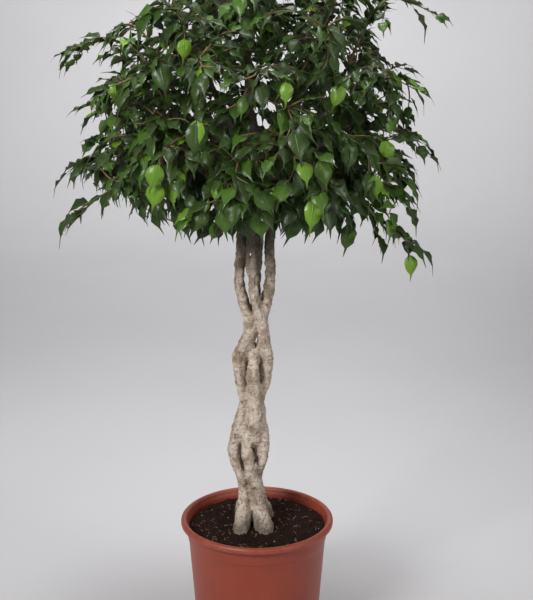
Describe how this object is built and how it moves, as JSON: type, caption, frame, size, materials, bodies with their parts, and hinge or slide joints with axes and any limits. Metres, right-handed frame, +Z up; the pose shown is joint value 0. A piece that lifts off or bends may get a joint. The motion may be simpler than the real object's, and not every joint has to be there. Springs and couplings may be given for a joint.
{
  "type": "potted weeping fig",
  "caption": "Indoor fig tree with a plaited trunk and a round, weeping leafy crown, rooted in soil in a plain round nursery pot.",
  "frame": {"origin": "middle of the flat underside of the pot", "axes": "+Z up along the trunk, -Y towards the picture's viewer, +X to the viewer's right"},
  "size_m": [0.7431, 0.6494, 1.3544],
  "materials": {
    "pot_plastic": "terracotta-coloured moulded plastic, satin",
    "soil": null,
    "bark": "smooth pale grey-beige bark with small pits and rings",
    "leaf": null
  },
  "bodies": {
    "root": {"nursery_pot": "pot_plastic", "potting_soil": "soil", "braided_trunk": "bark", "leafy_bough_00": "leaf", "leafy_bough_01": "leaf", "leafy_bough_02": "leaf", "leafy_bough_03": "leaf", "leafy_bough_04": "leaf", "leafy_bough_05": "leaf", "leafy_bough_06": "leaf", "leafy_bough_07": "leaf", "leafy_bough_08": "leaf", "leafy_bough_09": "leaf", "leafy_bough_10": "leaf", "leafy_bough_11": "leaf", "leafy_bough_12": "leaf", "leafy_bough_13": "leaf", "leafy_bough_14": "leaf", "leafy_bough_15": "leaf", "leafy_bough_16": "leaf", "leafy_bough_17": "leaf", "leafy_bough_18": "leaf", "leafy_bough_19": "leaf", "leafy_bough_20": "leaf", "leafy_bough_21": "leaf", "leafy_bough_22": "leaf", "leafy_bough_23": "leaf", "leafy_bough_24": "leaf", "leafy_bough_25": "leaf", "leafy_bough_26": "leaf", "leafy_bough_27": "leaf", "leafy_bough_28": "leaf", "leafy_bough_29": "leaf", "leafy_bough_30": "leaf", "leafy_bough_31": "leaf", "leafy_bough_32": "leaf", "leafy_bough_33": "leaf", "leafy_bough_34": "leaf", "leafy_bough_35": "leaf", "leafy_bough_36": "leaf", "leafy_bough_37": "leaf", "leafy_bough_38": "leaf", "leafy_bough_39": "leaf", "leafy_bough_40": "leaf", "leafy_bough_41": "leaf", "leafy_bough_42": "leaf", "leafy_bough_43": "leaf", "leafy_bough_44": "leaf", "leafy_bough_45": "leaf"}
  },
  "joints": []
}
